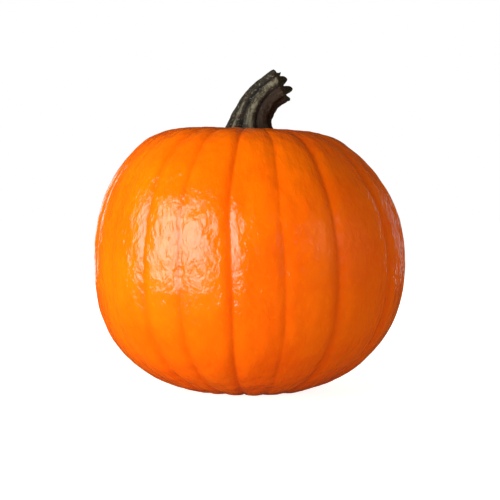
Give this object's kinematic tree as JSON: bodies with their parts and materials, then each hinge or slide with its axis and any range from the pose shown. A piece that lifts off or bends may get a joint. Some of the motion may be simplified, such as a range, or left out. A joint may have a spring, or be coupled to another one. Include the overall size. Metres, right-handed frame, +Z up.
{
  "type": "pumpkin",
  "caption": "Round ribbed orange pumpkin with a bent, ridged woody stem, as picked; it stands on the flattened ribs of its base.",
  "frame": {"origin": "on the table, under the middle of the fruit's outline", "axes": "+Z up; -Y the fruit's front; +X towards the side that the stem bends to"},
  "size_m": [0.2492, 0.2496, 0.2554],
  "materials": {
    "rind": "smooth waxy orange rind, half gloss, finely wrinkled between its ribs",
    "cork": "dry corky grey-brown skin with a matt fibrous grain along the stem"
  },
  "bodies": {
    "root": {"fruit": "rind", "stem": "cork"}
  },
  "joints": []
}
